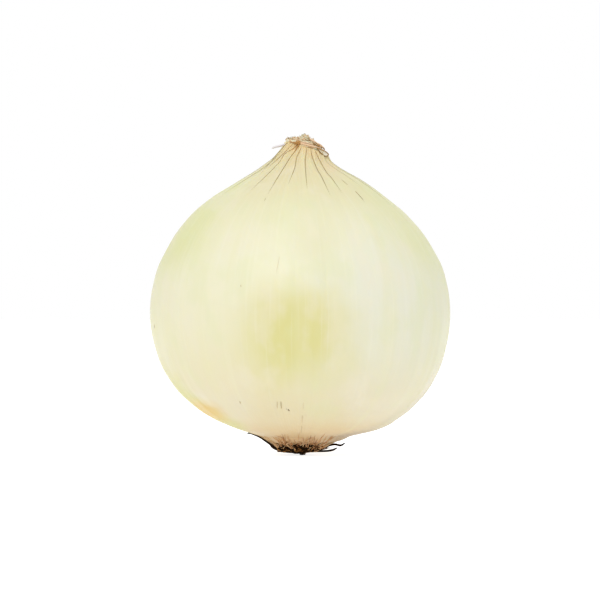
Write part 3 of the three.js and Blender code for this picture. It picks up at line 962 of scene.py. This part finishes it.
# The scale that curls out on the right shows its white inner side.
middle = sum(curl[:-1], Vector()) / (len(curl) - 1)
petal_corners = [middle + Vector((0, 0.1, 0))]
petal_faces = []
loop = sampled(curl, 0.3)[:-1]
for share in PETAL_RINGS:
    for point in loop:
        hollow = PETAL_HOLLOW * (1 - share ** 2)
        petal_corners.append(middle.lerp(point, share) + Vector((0, hollow, 0)))
count = len(loop)
for k in range(count):
    petal_faces.append((0, 1 + k, 1 + (k + 1) % count))
    for ring in range(len(PETAL_RINGS) - 1):
        start = 1 + ring * count
        a, b = start + k, start + (k + 1) % count
        petal_faces.append((a, a + count, b + count, b))
petal_mesh = bpy.data.meshes.new("curled_scale")
petal_mesh.from_pydata([tuple(corner * MM) for corner in petal_corners], [], petal_faces)
petal_mesh.shade_smooth()
petal = linked("curled_scale", petal_mesh)
inner_skin = [(0, (226, 206, 160)), (0.5, (246, 238, 214)), (1, (250, 246, 232))]
petal_mesh.materials.append(paper_material("inner skin", inner_skin))

neck_pieces = [stub, *sheets, scraps, folds, whisker, petal]
for piece in neck_pieces:
    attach(piece, "root")
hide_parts("dry_neck")

# Skin round the root plate
# A thin dry film is left where the outer skin was peeled off, torn at its upper edge and frayed
# into fine tan fibres that lie up over the flesh. It has dried on to the bulb's narrow end.
FILM_CENTRE = 0.1
FILM_SHIFT = 1.3  # how much further towards +X its outer part is
# The film's underside as a radius and a height, round its centre.
FILM_UNDERSIDE = [
    (4.4, 1.15),
    (5.6, 1.58),
    (6.8, 2.22),
    (8.25, 3.1),
    (10.15, 4.1),
    (11.95, 4.9),
    (14.0, 5.55),
]
FILM_START = 4.6
FILM_REACH = 8.2
FILM_TEARS = 7.0
FILM_THICKNESS = 0.1
FIBRES = 340
FRONT_FIBRES = 42
FIBRE_CENTRE = -0.8
FIBRE_RADIUS = 0.095
FIBRE_LENGTHS = (1, 1.5, 2.5, 4, 7)
FIBRE_SHADES = (0, 0.2, 0.5, 0.7, 0.9, 1)
FRONT_FIBRE_SHADES = (0, 0, 0.3, 0.5, 0.8)
CONE_STEPS = 5


def film_tree():
    tree, values, names, floats = form_tree("film", "Reach", "Tears", "Thickness")
    reach, tears, thickness = floats
    grid, azimuth, sine, cosine, around = skin_grid(tree, values)
    # The first side is the film's underside.
    out, side = there_and_back(around)
    torn = streaks(tree, 7, 0, (sine, cosine), azimuth, 6.0) - 0.5
    radius = (reach + torn * tears - FILM_START) * out + FILM_START
    low, high = FILM_UNDERSIDE[0][0], FILM_UNDERSIDE[-1][0]
    places = [((r - low) / (high - low), z) for r, z in FILM_UNDERSIDE]
    height = ((radius - low) / (high - low)).along(places, 0, 8) - side * thickness * 0.5
    x = radius * sine + FILM_CENTRE + radius.smooth(6, 12) * FILM_SHIFT
    end_tree(tree, wrap(tree, grid, x, radius * cosine * -1, height), values)
    return tree, names


film_values = {
    "Columns": 361,
    "Rings": 41,
    "Reach": FILM_REACH,
    "Tears": FILM_TEARS,
    "Thickness": FILM_THICKNESS,
    "Material": flesh,
}
film = grown("root_film", film_tree(), film_values)

base_skin = skin_tree(bulb, film)
draw = random.Random(21)


def up_the_cone(angle, centre, start, end, lift, wander):
    """A path from near the plate up over the cone and the flesh."""
    path = []
    for k in range(CONE_STEPS + 1):
        reach = start + (end - start) * k / CONE_STEPS
        turn = math.radians(angle + draw.uniform(-wander, wander) * (0.3 + k / CONE_STEPS))
        foot = Vector((centre + reach * math.sin(turn), -reach * math.cos(turn), -5))
        point = base_skin.ray_cast(foot, Vector((0, 0, 1)))[0]
        bow = lift * (1 - abs(2 * k / CONE_STEPS - 1))
        path.append(point + Vector((0, 0, -bow - 0.02)))
    return path


strands = []
for _ in range(FIBRES):
    angle = draw.uniform(0, 360)
    ahead = abs(math.cos(math.radians(angle)))
    start = draw.uniform(4.8, 6.2)
    end = start + draw.choice(FIBRE_LENGTHS) * draw.uniform(0.6, 1.2) * (0.4 + ahead * 0.6)
    path = up_the_cone(angle, FIBRE_CENTRE, start, end, draw.uniform(0, 0.7) * ahead, 5)
    shade = draw.choice(FIBRE_SHADES) * ahead
    if math.sin(math.radians(angle)) < -0.2:
        # They are paler on the left.
        shade *= 0.6
    radius = FIBRE_RADIUS * draw.uniform(0.6, 1.3)
    strands.append(strand(sampled(path, 0.4), radius, (shade, shade * 0.6)))
for _ in range(FRONT_FIBRES):
    # Those in front fan out upwards as seen from there.
    x, z = draw.uniform(-5.3, 6.4), draw.uniform(2.2, 3.0)
    rise = draw.uniform(0.8, 4.0)
    lean = ((x - FIBRE_CENTRE) * 0.13 + draw.uniform(-0.35, 0.35)) * rise
    path = []
    for share in QUARTERS:
        place = x + lean * share + draw.uniform(-0.12, 0.12)
        hit = from_front(base_skin, place, z + rise * share)
        if hit:
            path.append(hit - Vector((0, 0.1, 0)))
    shade = draw.choice(FRONT_FIBRE_SHADES)
    if len(path) > 2:
        radius = FIBRE_RADIUS * draw.uniform(0.5, 0.95)
        strands.append(strand(sampled(path, 0.4), radius, (0.5, shade)))
fibre_tan = thread_material(
    "root fibre",
    [(0, (250, 216, 164)), (0.35, (222, 158, 92)), (0.7, (172, 104, 50)), (1, (100, 56, 24))],
)
fibres = threads("cone_fibres", strands, 4, fibre_tan)
for piece in (film, fibres):
    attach(piece, "root")
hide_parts("skin_fringe")

# Roots
# A corky plate under a mat of short dried roots, brittle and nearly black, with a few long ones
# left that lie up against the skin. They grow out of the plate.
ROOT_CENTRE = -1.1
PLATE_OUTLINE = [
    (0.0, 0.0, 0.8),
    (0.55, 0.0, 0.8),
    (1.0, 0.5, 0.6),
    (2.8, 0.95, 0.0),
    (3.9, 1.2, -0.7),
    (4.3, 1.9, -1.0),
    (4.6, 2.7, -0.9),
    (0.0, 2.9, -0.6),
]
MAT_ROOTS = 700
MAT_ROOT_RADIUS = 0.17
MAT_SHADES = (0, 0.2, 0.5, 0.7, 0.8, 0.9, 1, 1, 1)
MAT_BOTTOM = 0.7
# How steeply the mat's underside rises to the left and to the right of the knob.
MAT_RISES = (0.05, 0.18)
TUFT_ROOTS = 200
TUFT_SHADES = (0, 0.3, 0.8, 0.9, 1, 1, 1)
SIDE_ROOTS = 13
# The knob of strands near the middle, as x, y and height.
KNOB = (0.6, -1.6, 0.4)
KNOB_STRANDS = 9
KNOB_SPREAD = 0.55
KNOB_RADIUS = 0.3
KNOB_FLOOR = 0.31  # its strands' own middles stay above this
LONG_ROOT_RADIUS = 0.3
# Long roots by x, y and height.
LONG_ROOTS = [
    [(-3.0, -2.8, 1.1), (-4.9, -2.9, 1.3), (-6.7, -2.8, 2.1), (-8.5, -2.4, 3.35)]
    + [(-10.7, -1.8, 4.85), (-12.9, -1.2, 5.75), (-14.0, -1.0, 5.8)],
    [(2.5, -2.6, 1.3), (4.8, -3.0, 2.0), (7.2, -2.6, 2.5), (9.2, -2.2, 2.9)]
    + [(10.8, -1.8, 2.6), (11.9, -1.4, 3.2)],
    [(2.4, -1.6, 1.0), (4.0, -1.8, 1.05), (7.0, -1.2, 1.1), (8.7, -0.8, 1.35), (9.8, -0.4, 1.85)],
    [(1.0, 3.2, 1.4), (2.4, 5.4, 1.2), (3.4, 7.0, 2.0), (4.6, 8.6, 2.5)],
    [(-1.6, 3.2, 1.6), (-2.4, 6.0, 1.3), (-3.1, 8.6, 2.3), (-3.8, 10.9, 2.8)],
    [(-3.4, 1.8, 1.2), (-5.5, 3.1, 1.1), (-7.0, 4.0, 1.6), (-7.9, 4.6, 2.3)],
]


def plate_tree():
    tree, values, names, (relief,) = form_tree("root plate", "Relief")
    grid, _, sine, cosine, up = skin_grid(tree, values)
    radius, height, shift = turned(PLATE_OUTLINE, up)
    lumps = streaks(tree, 1.2, 1, (sine * radius, cosine * radius), height, 4.0) - 0.5
    reach = radius + lumps * relief * radius.smooth(1, 3)
    z = (height + lumps * relief * radius.smooth(0.8, 2)).work("MAXIMUM", 0)
    x, y = reach * sine + shift, reach * cosine * -1
    end_tree(tree, wrap(tree, grid, x, y, z), values)
    return tree, names


root_colours = [
    (0, (214, 166, 104)),
    (0.3, (144, 94, 44)),
    (0.6, (66, 36, 9)),
    (0.8, (40, 20, 1)),
    (1, (26, 12, 0)),
]
root_brown = thread_material("dried root", root_colours, roughness=0.75, gloss=0.04)
cork_colours = [(0, (30, 18, 8)), (0.5, (48, 30, 15)), (1, (84, 56, 32))]
cork = paper_material("corky plate", cork_colours, gloss=0.15)
plate_values = {"Columns": 121, "Rings": 60, "Relief": 0.7, "Material": cork}
plate = grown("root_plate", plate_tree(), plate_values)


def mat_floor(x):
    """The height of the mat's underside."""
    away = x - KNOB[0]
    return MAT_BOTTOM + max(-away * MAT_RISES[0], away * MAT_RISES[1])


draw = random.Random(33)
strands = []
for _ in range(MAT_ROOTS):
    angle = draw.uniform(0, 360)
    front = math.cos(math.radians(angle)) ** 2
    start = draw.uniform(2.4, 3.8 + front * 2.6)
    right = max(0, math.sin(math.radians(angle))) * 3.4
    start += right * draw.uniform(0, 0.8)
    end = min(start + draw.uniform(0.8, 3.5), 4.1 + right + front * draw.uniform(1.5, 4.4))
    lift = draw.uniform(0.1, 0.5 + front * 0.7)
    path = up_the_cone(angle, ROOT_CENTRE, start, end, lift, 20)
    for point in path:
        point.z = max(mat_floor(point.x), point.z)
    shade = draw.choice(MAT_SHADES)
    radius = MAT_ROOT_RADIUS * draw.uniform(0.5, 1.3)
    strands.append(strand(sampled(path, 0.35), radius, (min(1, shade + 0.4), shade), (0.8, 0.3)))
for _ in range(TUFT_ROOTS):
    x, z = draw.uniform(-5.5, 5.6), draw.uniform(1.0, 3.0)
    z = max(mat_floor(x), z)
    behind = from_front(base_skin, x, max(z, 1.8))
    path = [behind + Vector((0, 0, z - behind.z))]
    for _ in range(3):
        path.append(path[-1] + jitter(draw, 0.5))
        path[-1].y = behind.y - draw.uniform(0.05, 0.5)
        path[-1].z = max(mat_floor(path[-1].x), path[-1].z + 0.1)
    shade = draw.choice(TUFT_SHADES)
    first_shade = 1
    if x > 3.4:
        # They are browner on the right.
        shade *= 0.7
        first_shade = 0.7
    radius = MAT_ROOT_RADIUS * draw.uniform(0.5, 1.1)
    strands.append(strand(sampled(path, 0.3), radius, (first_shade, shade), (0.8, 0.4)))
for _ in range(SIDE_ROOTS):
    # Brown ones run out to the right under the narrow end.
    start, end = draw.uniform(2.4, 4.2), draw.uniform(5.5, 8.2)
    low, high = draw.uniform(1.2, 2.6), draw.uniform(1.7, 3.0)
    path = []
    for share in (0, 0.3, 0.6, 1):
        z = low + (high - low) * share + draw.uniform(-0.2, 0.2)
        path.append(Vector((start + (end - start) * share, -3.0 + share, z)))
    shade = draw.uniform(0.2, 0.65)
    radius = MAT_ROOT_RADIUS * draw.uniform(0.5, 0.9)
    strands.append(strand(sampled(path, 0.4), radius, (0.5, shade), (0.8, 0.3)))
for path in LONG_ROOTS:
    points = [Vector(point) for point in path]
    strands.append(strand(sampled(points, 0.4), LONG_ROOT_RADIUS, (0.95, 0.85), (0.9, 0.6)))
for _ in range(KNOB_STRANDS):
    knob = [Vector(KNOB) + jitter(draw, KNOB_SPREAD) for _ in range(4)]
    for point in knob:
        point.z = max(KNOB_FLOOR, point.z)
    strands.append(strand(sampled(knob, 0.25), KNOB_RADIUS, (0.95, 1), (0.8, 0.6)))
roots = threads("dried_roots", strands, 5, root_brown)
for piece in (plate, roots):
    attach(piece, "root")
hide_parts("roots")

# Studio
# A pale table that glows a little, as in a light tent, under a soft key from the upper left.
TABLE_SIZE = 12
TABLE_GLOW = 0.85
LIT_PLACE = (0, 0, 0.045)

table_mesh = bpy.data.meshes.new("table")
half = TABLE_SIZE / 2
corners = [(-half, -half, 0), (half, -half, 0), (half, half, 0), (-half, half, 0)]
table_mesh.from_pydata(corners, [], [(0, 1, 2, 3)])
table = linked("table", table_mesh)
table_white, table_tree, table_shader = new_material("table white")
table_look = {"Base Color": (0.5, 0.5, 0.5, 1), "Roughness": 0.9, "Specular IOR Level": 0}
table_glow = {"Emission Color": (1, 1, 1, 1), "Emission Strength": TABLE_GLOW}
feed_named(table_tree, table_shader, table_look | table_glow)
table_mesh.materials.append(table_white)

world = bpy.data.worlds.new("light tent")
bpy.context.scene.world = world
world.use_nodes = True
sky = world.node_tree.nodes["Background"]
feed_named(world.node_tree, sky, {"Color": (1, 1, 1, 1), "Strength": 1.0})


def soft_light(name, place, size, watts):
    """A round soft light that points at the onion."""
    data = bpy.data.lights.new(name, "AREA")
    data.shape = "DISK"
    data.size = size
    data.energy = watts
    light = linked(name, data)
    light.location = place
    aim = Vector(LIT_PLACE) - Vector(place)
    light.rotation_euler = aim.to_track_quat("-Z", "Y").to_euler()


soft_light("key", (-0.3, -0.9, 0.75), 0.6, 3.6)
soft_light("top", (0.15, -0.25, 1.1), 0.8, 2.5)

settings = bpy.context.scene.view_settings
settings.view_transform = "Standard"
settings.look = "None"
settings.exposure = 0
settings.gamma = 1
